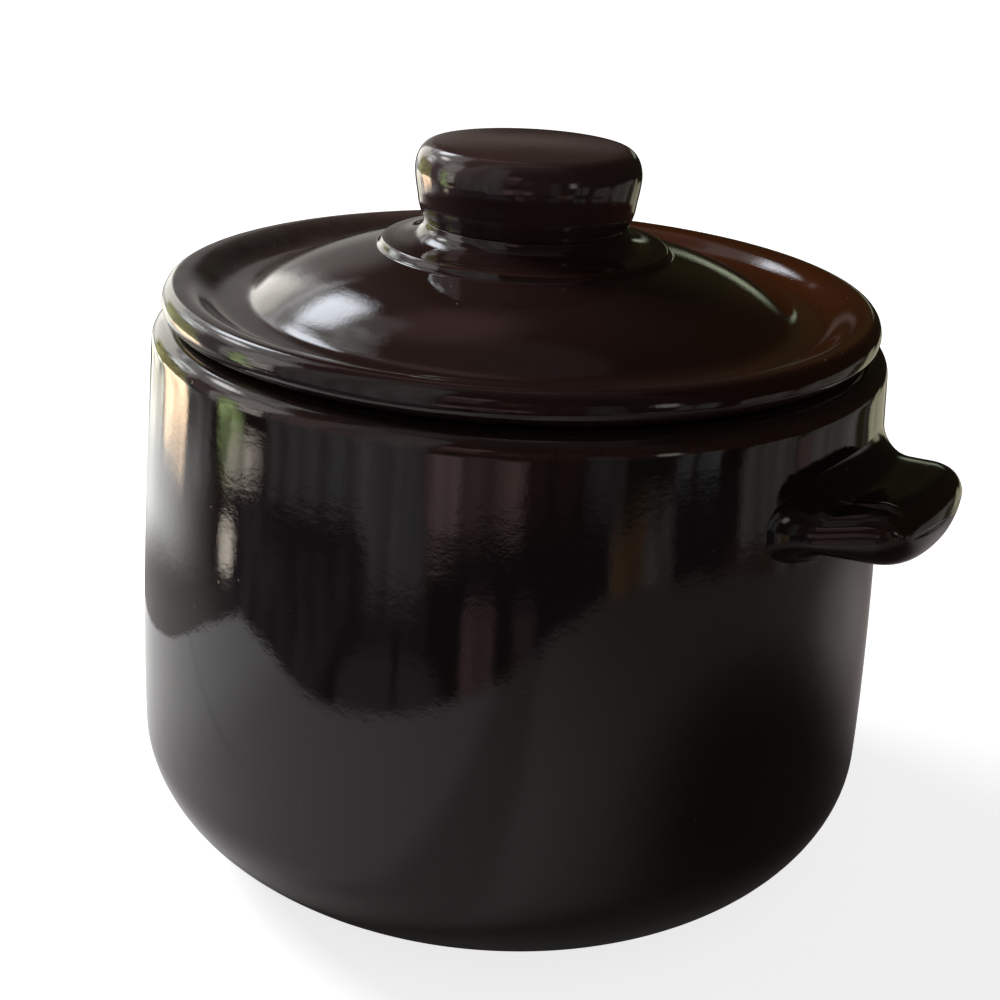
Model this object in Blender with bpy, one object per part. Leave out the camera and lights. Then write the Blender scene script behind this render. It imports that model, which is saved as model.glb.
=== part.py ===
"""Stoneware bean pot with two tab handles and a lift-off lid.

Lengths are in metres, +Z is up, and the origin is on the table under the pot's
axis. The tab handles lie along +X and -X. Every turned piece is a profile in
(radius, height) carried round the Z axis by a Screw modifier. The lid and its
knob hang from the empty lid_body, which lifts along the axis.
"""

import math

import bmesh
import bpy
import numpy as np
from mathutils import Vector

MM = 0.001

# Facets round each turned piece, and round a tab handle's section.
TURN_STEPS = 64
LUG_STEPS = 28

# Gap between pieces that touch on the real pot.
SEAT_GAP = 0.3 * MM

# Crock, outside.
CROCK_HEIGHT = 129.3 * MM
BELLY_RADIUS = 87.7 * MM
NECK_RADIUS = 83.4 * MM
WALL_SWELL = 0.1 * MM
SHOULDER_DRAW = 2.2 * MM
HEEL_HEIGHT = 31.0 * MM
HEEL_FULLNESS = 1.9
FOOT_RADIUS = 50.0 * MM
FOOT_WIDTH = 6.0 * MM
FOOT_RECESS = 1.6 * MM
FOOT_EDGE = 0.6 * MM
RIM_ROLL_WIDTH = 5.6 * MM
RIM_ROLL_HEIGHT = 4.6 * MM

# Crock, inside.
WALL_THICKNESS = 7.4 * MM
FLOOR_THICKNESS = 7.6 * MM
RIM_WIDTH = 8.0 * MM
RIM_BEAD = 4.6 * MM
MOUTH_EDGE = 0.8 * MM

# Lid. The dome's two pulls are shares of its width and of its rise.
LID_INSET = 2.4 * MM
LID_EDGE_ROUND = 3.2 * MM
LID_EDGE_UNDER = 3.6 * MM
LID_EDGE_TUCK = 5.0 * MM
LID_EDGE_OVER = 4.2 * MM
BRIM_WIDTH = 11.3 * MM
GUTTER_WIDTH = 6.5 * MM
GUTTER_DEPTH = 4.2 * MM
DOME_RISE = 12.0 * MM
DOME_FOOT_RISE = 1.6 * MM
DOME_HIGH_PULL = (0.46, 0.21)
DOME_LOW_PULL = (0.22, 0.35)
COLLAR_RADIUS = 32.7 * MM
COLLAR_STEP = 1.9 * MM
COLLAR_ROUND = 1.0 * MM
COLLAR_CREASE = 0.7 * MM
LID_THICKNESS = 6.8 * MM
HOLLOW_TOP_THICKNESS = 4.1 * MM
HOLLOW_PULL = 6.0 * MM
RING_DEPTH = 7.0 * MM
RING_THICKNESS = 4.6 * MM
RING_ROUND = 1.6 * MM
RING_CLEARANCE = 1.4 * MM

# Knob, and the neck that carries it.
NECK_HEIGHT = 4.4 * MM
NECK_WAIST_RADIUS = 23.0 * MM
KNOB_HEIGHT = 16.8 * MM
KNOB_RADIUS = 25.3 * MM
KNOB_EDGE_WIDTH = 4.2 * MM
KNOB_EDGE_HEIGHT = 6.0 * MM
KNOB_CREASE_HEIGHT = 4.8 * MM
KNOB_CREASE_DRAW = 0.8 * MM
KNOB_CREASE_PULL = 2.0 * MM
KNOB_CROWN = 0.5 * MM

# Tab handles. The height is measured down from the rim to the root's middle.
LUG_DROP = 25.7 * MM
LUG_RISE = 3.0 * MM
LUG_REACH = 19.6 * MM
LUG_ROOT_WIDTH = 55.4 * MM
LUG_TIP_WIDTH = 40.6 * MM
LUG_ROOT_THICKNESS = 14.4 * MM
LUG_TIP_THICKNESS = 15.8 * MM
LUG_CORNER = 5.0 * MM
LUG_BOW = 3.2 * MM
LUG_DISH = 0.8 * MM
LUG_FILLET_ABOVE = 8.8 * MM
LUG_FILLET_BELOW = 3.2 * MM
LUG_SINK = 3.0 * MM
LUG_SIDE_FLATNESS = 0.6

# Worked out from the sizes above.
MOUTH_RADIUS = NECK_RADIUS - RIM_WIDTH
RIM_ROLL_FOOT = CROCK_HEIGHT - RIM_ROLL_HEIGHT
LID_RADIUS = NECK_RADIUS - LID_INSET
BRIM_RADIUS = LID_RADIUS - LID_EDGE_ROUND
GUTTER_RADIUS = BRIM_RADIUS - BRIM_WIDTH
DOME_FOOT_RADIUS = GUTTER_RADIUS - GUTTER_WIDTH
LID_SEAT = CROCK_HEIGHT + SEAT_GAP
LID_EDGE_LEVEL = LID_SEAT + LID_EDGE_UNDER
LID_CREST_LEVEL = LID_EDGE_LEVEL + LID_EDGE_OVER
GUTTER_LEVEL = LID_CREST_LEVEL - GUTTER_DEPTH
DOME_TOP_LEVEL = GUTTER_LEVEL + DOME_RISE
COLLAR_LEVEL = DOME_TOP_LEVEL + COLLAR_STEP
NECK_LEVEL = COLLAR_LEVEL + NECK_HEIGHT
KNOB_BASE = NECK_LEVEL + SEAT_GAP
LUG_HEIGHT = CROCK_HEIGHT - LUG_DROP


def bezier(start, start_pull, end_pull, end, count):
    """Points of a cubic Bezier curve, without its first point."""
    t = np.linspace(0.0, 1.0, count + 1)[1:, None]
    s = 1.0 - t
    curve = s**3 * np.array(start) + 3 * s * s * t * np.array(start_pull)
    curve = curve + 3 * s * t * t * np.array(end_pull) + t**3 * np.array(end)
    return [tuple(point) for point in curve]


def arc(centre, width, height, first, last, count):
    """Points of an elliptic arc between two angles in degrees, ends included."""
    angles = np.radians(np.linspace(first, last, count))
    radii = centre[0] + width * np.cos(angles)
    heights = centre[1] + height * np.sin(angles)
    return list(zip(radii, heights))


def heel(foot, belly, count):
    """Superellipse from the belly point down to the foot point, ends included."""
    angles = np.radians(np.linspace(90.0, 0.0, count))
    power = 2.0 / HEEL_FULLNESS
    radii = foot[0] + (belly[0] - foot[0]) * np.sin(angles) ** power
    heights = belly[1] - (belly[1] - foot[1]) * np.cos(angles) ** power
    return list(zip(radii, heights))


def wall_radius(height):
    """Outer radius of the crock's wall between the heel and the rim's roll."""
    t = np.clip((height - HEEL_HEIGHT) / (RIM_ROLL_FOOT - HEEL_HEIGHT), 0.0, 1.0)
    s = 1.0 - t
    low = s**3 * BELLY_RADIUS + 3 * s * s * t * (BELLY_RADIUS + WALL_SWELL)
    high = 3 * s * t * t * (BELLY_RADIUS - SHOULDER_DRAW) + t**3 * NECK_RADIUS
    return low + high


def wall(top, bottom, inset, count):
    """Points down the crock's wall, each moved inwards by the inset."""
    heights = np.linspace(top, bottom, count)
    return [(wall_radius(z) - inset, z) for z in heights]


def material(name, colour, roughness):
    """Fired stoneware under a gloss glaze: one plain colour and roughness."""
    made = bpy.data.materials.new(name)
    made.use_nodes = True
    shader = made.node_tree.nodes["Principled BSDF"]
    shader.inputs["Base Color"].default_value = (*colour, 1.0)
    shader.inputs["Roughness"].default_value = roughness
    made.diffuse_color = (*colour, 1.0)
    return made


def add_object(name, mesh, parent, made_of):
    """Puts a mesh into the scene as one named sub-part."""
    piece = bpy.data.objects.new(name, mesh)
    bpy.context.scene.collection.objects.link(piece)
    piece.parent = parent
    if made_of is not None:
        mesh.materials.append(made_of)
    return piece


def add_empty(name, place):
    """An empty that carries the pieces of one rigid body."""
    empty = bpy.data.objects.new(name, None)
    empty.location = place
    bpy.context.scene.collection.objects.link(empty)
    return empty


def turned(name, profile, parent, made_of):
    """A solid of revolution from a profile given from its inner end to its outer."""
    base = parent.location.z if parent is not None else 0.0
    points = [(radius, 0.0, height - base) for radius, height in profile]
    edges = [(i, i + 1) for i in range(len(points) - 1)]
    mesh = bpy.data.meshes.new(name)
    mesh.from_pydata(points, edges, [])
    piece = add_object(name, mesh, parent, made_of)
    screw = piece.modifiers.new("Turn", "SCREW")
    screw.axis = "Z"
    screw.steps = TURN_STEPS
    screw.render_steps = TURN_STEPS
    screw.use_merge_vertices = True
    screw.merge_threshold = 0.01 * MM
    screw.use_smooth_shade = True
    return piece


def crock_inside():
    """The crock's inside, from the middle of its floor up to the mouth's edge."""
    floor = FOOT_RECESS + FLOOR_THICKNESS
    belly = (BELLY_RADIUS - WALL_THICKNESS, HEEL_HEIGHT)
    points = [(0.0, floor)]
    points += heel((FOOT_RADIUS - FOOT_WIDTH, floor), belly, 7)[::-1]
    bead_foot = RIM_ROLL_FOOT - RIM_BEAD
    points += wall(bead_foot, HEEL_HEIGHT, WALL_THICKNESS, 6)[::-1][1:]
    points.append((MOUTH_RADIUS, RIM_ROLL_FOOT))
    edge = (MOUTH_RADIUS + MOUTH_EDGE, CROCK_HEIGHT - MOUTH_EDGE)
    return points + arc(edge, MOUTH_EDGE, MOUTH_EDGE, 180.0, 90.0, 3)


def crock_foot():
    """The foot ring and the recess inside it, from its outer edge to the axis."""
    outer = (FOOT_RADIUS - FOOT_EDGE, FOOT_EDGE)
    inner = (FOOT_RADIUS - FOOT_WIDTH + FOOT_EDGE, FOOT_EDGE)
    points = arc(outer, FOOT_EDGE, FOOT_EDGE, 0.0, -90.0, 3)[1:]
    points += arc(inner, FOOT_EDGE, FOOT_EDGE, -90.0, -180.0, 3)
    recess = FOOT_RADIUS - FOOT_WIDTH - FOOT_RECESS
    return points + [(recess, FOOT_RECESS), (0.0, FOOT_RECESS)]


def crock_profile():
    """Section of the crock: up its inside, over the rim and down to its foot."""
    points = crock_inside()
    roll = (NECK_RADIUS - RIM_ROLL_WIDTH, RIM_ROLL_FOOT)
    points += arc(roll, RIM_ROLL_WIDTH, RIM_ROLL_HEIGHT, 90.0, 0.0, 6)
    points += wall(RIM_ROLL_FOOT, HEEL_HEIGHT, 0.0, 7)[1:]
    points += heel((FOOT_RADIUS, FOOT_EDGE), (BELLY_RADIUS, HEEL_HEIGHT), 9)[1:]
    return points + crock_foot()


def dome_curve():
    """The dome, from the crease under the collar down to the gutter's inner side."""
    start = (COLLAR_RADIUS + COLLAR_CREASE, DOME_TOP_LEVEL)
    foot = (DOME_FOOT_RADIUS, GUTTER_LEVEL + DOME_FOOT_RISE)
    span = foot[0] - start[0]
    high = (start[0] + DOME_HIGH_PULL[0] * span, start[1] - DOME_HIGH_PULL[1] * DOME_RISE)
    low = (foot[0] - DOME_LOW_PULL[0] * span, foot[1] + DOME_LOW_PULL[1] * DOME_RISE)
    return [start] + bezier(start, high, low, foot, 8)


def brim_curve(foot):
    """From the dome's foot through the gutter and up the brim to its crest."""
    bottom = (GUTTER_RADIUS, GUTTER_LEVEL)
    crest = (BRIM_RADIUS, LID_CREST_LEVEL)
    third = GUTTER_WIDTH / 3.0
    half = BRIM_WIDTH / 2.0
    points = bezier(foot, (foot[0] + third, bottom[1]), (bottom[0] - third, bottom[1]), bottom, 3)
    points += bezier(bottom, (bottom[0] + half, bottom[1]), (crest[0] - half, crest[1]), crest, 5)
    return points


def lid_under():
    """The lid's underside, from its seat on the rim to the middle of its hollow."""
    outer = MOUTH_RADIUS - RING_CLEARANCE
    inner = outer - RING_THICKNESS
    level = LID_SEAT - RING_DEPTH + RING_ROUND
    points = [(outer, LID_SEAT)]
    points += arc((outer - RING_ROUND, level), RING_ROUND, RING_ROUND, 0.0, -90.0, 3)
    points += arc((inner + RING_ROUND, level), RING_ROUND, RING_ROUND, -90.0, -180.0, 3)
    edge = (inner, GUTTER_LEVEL - LID_THICKNESS)
    top = (0.0, DOME_TOP_LEVEL - HOLLOW_TOP_THICKNESS)
    points.append(edge)
    return points + bezier(edge, (inner - HOLLOW_PULL, edge[1]), (0.5 * inner, top[1]), top, 7)


def lid_profile():
    """Section of the lid: neck, collar, dome, brim and edge, then its underside."""
    flare = COLLAR_RADIUS - COLLAR_ROUND - NECK_WAIST_RADIUS
    points = [(0.0, NECK_LEVEL)]
    points += arc((NECK_WAIST_RADIUS + flare, NECK_LEVEL), flare, NECK_HEIGHT, 180.0, 270.0, 6)
    collar = (COLLAR_RADIUS - COLLAR_ROUND, COLLAR_LEVEL - COLLAR_ROUND)
    points += arc(collar, COLLAR_ROUND, COLLAR_ROUND, 90.0, 0.0, 3)[1:]
    points += dome_curve()
    points += brim_curve(points[-1])
    edge = (BRIM_RADIUS, LID_EDGE_LEVEL)
    points += arc(edge, LID_EDGE_ROUND, LID_EDGE_OVER, 90.0, 0.0, 6)[1:]
    tuck = (LID_RADIUS - LID_EDGE_TUCK, LID_EDGE_LEVEL)
    points += arc(tuck, LID_EDGE_TUCK, LID_EDGE_UNDER, 0.0, -90.0, 5)[1:]
    return points + lid_under()


def knob_profile():
    """Section of the knob, from the middle of its crown down to its seat on the neck."""
    top = KNOB_BASE + KNOB_HEIGHT
    flat = KNOB_RADIUS - KNOB_EDGE_WIDTH
    widest = (KNOB_RADIUS, top - KNOB_EDGE_HEIGHT)
    crease = (KNOB_RADIUS - KNOB_CREASE_DRAW, KNOB_BASE + KNOB_CREASE_HEIGHT)
    waist = (NECK_WAIST_RADIUS, KNOB_BASE)
    points = [(0.0, top + KNOB_CROWN)]
    points += bezier(points[0], (0.5 * flat, top + KNOB_CROWN), (flat, top), (flat, top), 2)
    points += arc((flat, widest[1]), KNOB_EDGE_WIDTH, KNOB_EDGE_HEIGHT, 90.0, 0.0, 7)[1:]
    points += bezier(widest, (widest[0], widest[1] - KNOB_CREASE_PULL), crease, crease, 2)
    points += bezier(crease, (crease[0], crease[1] - KNOB_CREASE_PULL), waist, waist, 4)
    points.append((0.0, KNOB_BASE))
    return points


def round_over(radius, distance):
    """How far a quarter round has drawn in at this distance from its end."""
    if distance >= radius:
        return 0.0
    return radius - math.sqrt(max(radius**2 - (radius - distance) ** 2, 0.0))


def lug_section(out):
    """Half width, half thickness above and below, and middle height, this far out."""
    along = out / LUG_REACH
    half_width = 0.5 * (LUG_ROOT_WIDTH + (LUG_TIP_WIDTH - LUG_ROOT_WIDTH) * along)
    half_thick = 0.5 * (LUG_ROOT_THICKNESS + (LUG_TIP_THICKNESS - LUG_ROOT_THICKNESS) * along)
    above = round_over(LUG_FILLET_ABOVE, max(out, 0.0))
    below = round_over(LUG_FILLET_BELOW, max(out, 0.0))
    half_width += 0.5 * (above + below) - round_over(LUG_CORNER, LUG_REACH - out)
    nose = 0.5 * LUG_TIP_THICKNESS
    half_thick *= 1.0 - round_over(nose, LUG_REACH - out) / nose
    return half_width, half_thick + above, half_thick + below, LUG_HEIGHT + LUG_RISE * along


def lug_ring(out):
    """One closed ring of points round a tab, this far out from the wall."""
    turns = np.linspace(0.0, 2.0 * math.pi, LUG_STEPS, endpoint=False)
    half_width, above, below, middle = lug_section(out)
    along = min(max(out / LUG_REACH, 0.0), 1.0)
    corner = min(0.5 * (above + below), half_width)
    straight = np.sign(np.cos(turns)) * np.abs(np.cos(turns)) ** LUG_SIDE_FLATNESS
    across = (half_width - corner) * straight + corner * np.cos(turns)
    up = np.where(np.sin(turns) > 0, above, below) * np.sin(turns)
    dish = LUG_DISH * np.clip(1.0 - (across / half_width) ** 2, 0.0, 1.0)
    heights = middle + up - dish * math.sin(math.pi * along) * (up > 0)
    wall_face = np.sqrt(wall_radius(heights) ** 2 - across**2)
    tip_face = wall_radius(LUG_HEIGHT) - LUG_BOW * (2.0 * across / LUG_TIP_WIDTH) ** 2
    face = wall_face + out + along**2 * (tip_face - wall_face)
    return [Vector(point) for point in zip(face, across, heights)]


def lug_mesh(name):
    """A tab lofted outwards from inside the wall, with a full round along its edge."""
    nose = 0.5 * LUG_TIP_THICKNESS
    fillet = LUG_FILLET_ABOVE
    outs = [-LUG_SINK, SEAT_GAP, 0.2 * fillet, 0.45 * fillet, 0.7 * fillet, fillet]
    outs += [LUG_REACH - nose * (1.0 - math.sin(math.radians(a))) for a in (0, 18, 36, 54, 70, 82)]
    bm = bmesh.new()
    rings = [[bm.verts.new(point) for point in lug_ring(out)] for out in outs]
    for near, far in zip(rings[:-1], rings[1:]):
        for i in range(LUG_STEPS):
            j = (i + 1) % LUG_STEPS
            bm.faces.new((near[i], near[j], far[j], far[i]))
    bm.faces.new(rings[0][::-1])
    bm.faces.new(rings[-1])
    bmesh.ops.recalc_face_normals(bm, faces=bm.faces[:])
    mesh = bpy.data.meshes.new(name)
    bm.to_mesh(mesh)
    bm.free()
    mesh.shade_smooth()
    return mesh


def wall_cutter():
    """The crock's outside grown by the seat gap, which trims the tabs' roots to the wall."""
    profile = [(0.0, RIM_ROLL_FOOT)] + wall(RIM_ROLL_FOOT, HEEL_HEIGHT, -SEAT_GAP, 7)
    profile.append((0.0, HEEL_HEIGHT))
    cutter = turned("wall_cutter", profile, None, None)
    cutter.hide_render = True
    cutter.display_type = "WIRE"
    return cutter


def add_lug(name, facing, cutter, parent, made_of):
    """One tab handle, turned to face its side and trimmed to the wall."""
    lug = add_object(name, lug_mesh(name), parent, made_of)
    lug.rotation_euler = (0.0, 0.0, facing)
    trim = lug.modifiers.new("Seat on wall", "BOOLEAN")
    trim.operation = "DIFFERENCE"
    trim.solver = "EXACT"
    trim.object = cutter
    return lug


def build():
    for old in list(bpy.data.objects):
        bpy.data.objects.remove(old, do_unlink=True)
    glaze = material("dark_brown_glaze", (0.012, 0.007, 0.006), 0.08)
    tab_glaze = material("black_brown_glaze", (0.01, 0.008, 0.006), 0.07)
    lid_glaze = material("red_brown_glaze", (0.022, 0.008, 0.006), 0.1)
    knob_glaze = material("red_brown_glaze_on_knob", (0.02, 0.009, 0.007), 0.12)
    crock_body = add_empty("crock_body", (0.0, 0.0, 0.0))
    lid_body = add_empty("lid_body", (0.0, 0.0, LID_SEAT))
    turned("crock", crock_profile(), crock_body, glaze)
    cutter = wall_cutter()
    add_lug("lug_handle_right", 0.0, cutter, crock_body, tab_glaze)
    add_lug("lug_handle_left", math.pi, cutter, crock_body, tab_glaze)
    turned("lid", lid_profile(), lid_body, lid_glaze)
    turned("lid_knob", knob_profile(), lid_body, knob_glaze)


build()
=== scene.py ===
import math

import bpy
import numpy as np
from mathutils import Matrix, Vector


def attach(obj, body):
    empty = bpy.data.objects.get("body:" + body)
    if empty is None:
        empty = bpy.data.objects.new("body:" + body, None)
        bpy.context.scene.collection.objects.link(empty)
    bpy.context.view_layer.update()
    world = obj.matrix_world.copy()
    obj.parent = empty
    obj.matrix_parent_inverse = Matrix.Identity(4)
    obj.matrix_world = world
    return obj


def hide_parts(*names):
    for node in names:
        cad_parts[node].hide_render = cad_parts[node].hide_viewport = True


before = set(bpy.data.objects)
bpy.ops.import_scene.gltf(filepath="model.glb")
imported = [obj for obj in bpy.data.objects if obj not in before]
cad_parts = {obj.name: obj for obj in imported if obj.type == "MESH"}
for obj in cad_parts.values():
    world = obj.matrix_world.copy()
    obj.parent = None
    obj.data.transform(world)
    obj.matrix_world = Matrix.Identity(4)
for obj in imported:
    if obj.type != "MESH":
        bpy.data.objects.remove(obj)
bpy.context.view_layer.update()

MM = 0.001

# Sizes of the crock, the same as the solid has.
CROCK_HEIGHT = 129.3 * MM
BELLY_RADIUS = 87.7 * MM
NECK_RADIUS = 83.4 * MM
WALL_SWELL = 0.1 * MM
SHOULDER_DRAW = 2.2 * MM
HEEL_HEIGHT = 31.0 * MM
HEEL_FULLNESS = 1.9
FOOT_RADIUS = 50.0 * MM
FOOT_WIDTH = 6.0 * MM
FOOT_RECESS = 1.6 * MM
FOOT_EDGE = 0.6 * MM
RIM_ROLL_WIDTH = 5.6 * MM
RIM_ROLL_HEIGHT = 4.6 * MM
WALL_THICKNESS = 7.4 * MM
FLOOR_THICKNESS = 7.6 * MM
RIM_WIDTH = 8.0 * MM
RIM_BEAD = 4.6 * MM
MOUTH_EDGE = 0.8 * MM

# Sizes of the lid, the same as the solid has. The dome's pulls are shares of its width and rise.
SEAT_GAP = 0.3 * MM
LID_INSET = 2.4 * MM
LID_EDGE_ROUND = 3.2 * MM
LID_EDGE_UNDER = 3.6 * MM
LID_EDGE_TUCK = 5.0 * MM
LID_EDGE_OVER = 4.2 * MM
BRIM_WIDTH = 11.3 * MM
BRIM_PULL = 5.65 * MM
GUTTER_WIDTH = 6.5 * MM
GUTTER_PULL = 2.17 * MM
GUTTER_DEPTH = 4.2 * MM
DOME_RISE = 12.0 * MM
DOME_FOOT_RISE = 1.6 * MM
DOME_HIGH_PULL = (0.46, 0.21)
DOME_LOW_PULL = (0.22, 0.35)
COLLAR_RADIUS = 32.7 * MM
COLLAR_STEP = 1.9 * MM
COLLAR_ROUND = 1.0 * MM
COLLAR_CREASE = 0.7 * MM
LID_THICKNESS = 6.8 * MM
HOLLOW_TOP_THICKNESS = 4.1 * MM
HOLLOW_PULL = 6.0 * MM
RING_DEPTH = 7.0 * MM
RING_THICKNESS = 4.6 * MM
RING_ROUND = 1.6 * MM
RING_CLEARANCE = 1.4 * MM

# Sizes of the knob and of the neck that carries it, the same as the solids have.
NECK_HEIGHT = 4.4 * MM
NECK_WAIST_RADIUS = 23.0 * MM
KNOB_HEIGHT = 16.8 * MM
KNOB_RADIUS = 25.3 * MM
KNOB_EDGE_WIDTH = 4.2 * MM
KNOB_EDGE_HEIGHT = 6.0 * MM
KNOB_CREASE_HEIGHT = 4.8 * MM
KNOB_CREASE_DRAW = 0.8 * MM
KNOB_CREASE_PULL = 2.0 * MM
KNOB_CROWN = 0.5 * MM

# Sizes of a glazed tab. Its depths are shares of the half thickness, under the root and the tip.
LUG_DROP = 25.7 * MM
LUG_RISE = 3.0 * MM
LUG_REACH = 19.5 * MM
LUG_ROOT_WIDTH = 55.4 * MM
LUG_TIP_WIDTH = 39.5 * MM
LUG_ROOT_THICKNESS = 14.4 * MM
LUG_TIP_THICKNESS = 15.8 * MM
LUG_ROOT_DEPTH = 0.6
LUG_TIP_DEPTH = 1.25
LUG_CORNER = 4.0 * MM
LUG_BOW = 3.2 * MM
LUG_DISH = 0.8 * MM
LUG_FILLET_ABOVE = 7.4 * MM
LUG_FILLET_BELOW = 3.4 * MM
LUG_FILLET_END = 8.0 * MM
LUG_SINK = 0.25 * MM
LUG_SIDE_FLATNESS = 0.6
LUG_TOP_FLATNESS = 0.55
LEFT_LUG_SET_BACK = 1.2 * MM

# The two ridges in the glaze on top of a tab.
RIDGE_PLACE = -15.2 * MM
RIDGE_SPREAD = 0.95 * MM
RIDGE_WIDTH = 0.55 * MM
RIDGE_MEETING = 18.0 * MM
RIDGE_CLOSING = 12.0 * MM
RIDGE_BEHIND = 0.3 * MM
RIDGE_AHEAD = 0.42 * MM

# Worked out from the sizes above.
MOUTH_RADIUS = NECK_RADIUS - RIM_WIDTH
RIM_ROLL_FOOT = CROCK_HEIGHT - RIM_ROLL_HEIGHT
LID_RADIUS = NECK_RADIUS - LID_INSET
BRIM_RADIUS = LID_RADIUS - LID_EDGE_ROUND
GUTTER_RADIUS = BRIM_RADIUS - BRIM_WIDTH
DOME_FOOT_RADIUS = GUTTER_RADIUS - GUTTER_WIDTH
LID_SEAT = CROCK_HEIGHT + SEAT_GAP
LID_EDGE_LEVEL = LID_SEAT + LID_EDGE_UNDER
LID_CREST_LEVEL = LID_EDGE_LEVEL + LID_EDGE_OVER
GUTTER_LEVEL = LID_CREST_LEVEL - GUTTER_DEPTH
DOME_FOOT_LEVEL = GUTTER_LEVEL + DOME_FOOT_RISE
DOME_TOP_LEVEL = GUTTER_LEVEL + DOME_RISE
COLLAR_LEVEL = DOME_TOP_LEVEL + COLLAR_STEP
NECK_LEVEL = COLLAR_LEVEL + NECK_HEIGHT
KNOB_BASE = NECK_LEVEL + SEAT_GAP
KNOB_TOP = KNOB_BASE + KNOB_HEIGHT
LUG_HEIGHT = CROCK_HEIGHT - LUG_DROP

# Points round the crock and the lid, round the knob, and round a tab's section.
TURN_STEPS = 288
KNOB_STEPS = 192
LUG_STEPS = 400

# Spacing of the points of a profile while its corners are rounded.
PROFILE_STEP = 0.1 * MM

# How far out of round each turned piece is, from this radius outwards. Further in it is less.
CROCK_UNEVENNESS = 0.12 * MM
LID_UNEVENNESS = 0.06 * MM
KNOB_UNEVENNESS = 0.05 * MM
ROUND_MIDDLE = 20 * MM

GLAZE_IOR = 1.52
SURFACE_OUTPUTS = (("Color", "Color"), ("Roughness", "Float"), ("Height", "Float"))
PANEL_INPUTS = (
    "Azimuth", "Elevation", "Centre Azimuth", "Centre Elevation", "Half Width", "Half Height",
    "Lean", "Slope", "Squareness", "Softness",
)

# The camera stands where the photograph was taken from, this far round from the tab on +X.
CAMERA_TURN = math.radians(31.5)
CAMERA_BACK = 357.59 * MM
CAMERA_HEIGHT = 228.03 * MM
CAMERA_PITCH = 0.38455
CAMERA_YAW = -0.00762
CAMERA_ROLL = 0.05035
CAMERA_LENS = 57.566
POT_MIDDLE = Vector((0.0, 0.0, 0.08))
TABLE_LEVEL = -0.05 * MM


# Shapes

def bezier(start, start_pull, end_pull, end):
    """Cubic Bezier curve: s^3 A + 3 s^2 t B + 3 s t^2 C + t^3 D, with s = 1 - t."""
    t = np.linspace(0.0, 1.0, 40)[:, None]
    s = 1.0 - t
    pulls = 3 * s * s * t * np.array(start_pull) + 3 * s * t * t * np.array(end_pull)
    return s**3 * np.array(start) + pulls + t**3 * np.array(end)


def arc(centre, width, height, first, last):
    """Elliptic arc: centre + (width cos a, height sin a), between two angles in degrees."""
    a = np.radians(np.linspace(first, last, 32))
    return np.stack([centre[0] + width * np.cos(a), centre[1] + height * np.sin(a)], -1)


def heel(foot, belly):
    """Quarter superellipse |x|^n + |z|^n = 1 from the belly point down to the foot point."""
    a = np.linspace(0.5 * math.pi, 0.0, 60)
    power = 2.0 / HEEL_FULLNESS
    radius = foot[0] + (belly[0] - foot[0]) * np.sin(a) ** power
    return np.stack([radius, belly[1] - (belly[1] - foot[1]) * np.cos(a) ** power], -1)


def wall_radius(height):
    """Cubic Bezier in height: the wall's outer radius from the heel up to the rim's roll."""
    t = np.clip((height - HEEL_HEIGHT) / (RIM_ROLL_FOOT - HEEL_HEIGHT), 0.0, 1.0)
    s = 1.0 - t
    low = s**3 * BELLY_RADIUS + 3 * s * s * t * (BELLY_RADIUS + WALL_SWELL)
    return low + 3 * s * t * t * (BELLY_RADIUS - SHOULDER_DRAW) + t**3 * NECK_RADIUS


def wall(top, bottom, inset):
    """The wall's line between two heights, moved inwards by the inset."""
    z = np.linspace(top, bottom, 60)
    return np.stack([wall_radius(z) - inset, z], -1)


def glazed_profile(parts, soften, travel, turn):
    """Joins curves into one profile, rounds its corners as glaze does, and spaces its points.

    The corners are rounded by a Gaussian average along the length, soften metres wide. A
    point then comes wherever length / travel + turning angle / turn has grown by one.
    Returns radius and height, and how sharply the profile turns outwards at each point.
    """
    line = np.concatenate([np.atleast_2d(part) for part in parts])
    line = line[np.r_[True, np.linalg.norm(np.diff(line, axis=0), axis=1) > 1e-7]]
    length = np.r_[0.0, np.cumsum(np.linalg.norm(np.diff(line, axis=0), axis=1))]
    even = np.r_[np.arange(0.0, length[-1], PROFILE_STEP), length[-1]]
    path = np.stack([np.interp(even, length, line[:, k]) for k in (0, 1)], -1)
    reach = int(3 * soften / PROFILE_STEP)
    weights = np.exp(-0.5 * (np.arange(-reach, reach + 1) * PROFILE_STEP / soften) ** 2)
    weights /= weights.sum()
    # The ends are carried on past the axis, mirrored, so that the middle stays level.
    ahead = path[1:reach + 1][::-1] * (-1.0, 1.0)
    after = path[-reach - 1:-1][::-1] * (-1.0, 1.0)
    padded = np.concatenate([ahead, path, after])
    path = np.stack([np.convolve(padded[:, k], weights, "valid") for k in (0, 1)], -1)
    way = np.gradient(path, axis=0)
    angle = np.unwrap(np.arctan2(way[:, 1], way[:, 0]))
    bend = np.gradient(angle) / PROFILE_STEP
    density = 1.0 / travel + np.abs(bend) / turn
    grown = np.r_[0.0, np.cumsum(0.5 * (density[1:] + density[:-1]) * np.diff(even))]
    count = int(grown[-1]) + 2
    places = np.interp(np.linspace(0.0, grown[-1], count), grown, even)
    points = np.stack([np.interp(places, even, path[:, k]) for k in (0, 1)], -1)
    points[[0, -1], 0] = 0.0
    return points, np.interp(places, even, -bend)


def mesh_piece(name, points, faces, body, stands_for, material):
    """Puts points and faces into a mesh object that rides on a body and replaces a solid."""
    mesh = bpy.data.meshes.new(name)
    mesh.from_pydata(points, [], faces)
    mesh.validate()
    mesh.shade_smooth()
    mesh.materials.append(material)
    piece = bpy.data.objects.new(name, mesh)
    bpy.context.scene.collection.objects.link(piece)
    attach(piece, body)
    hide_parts(stands_for)
    return piece


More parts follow.
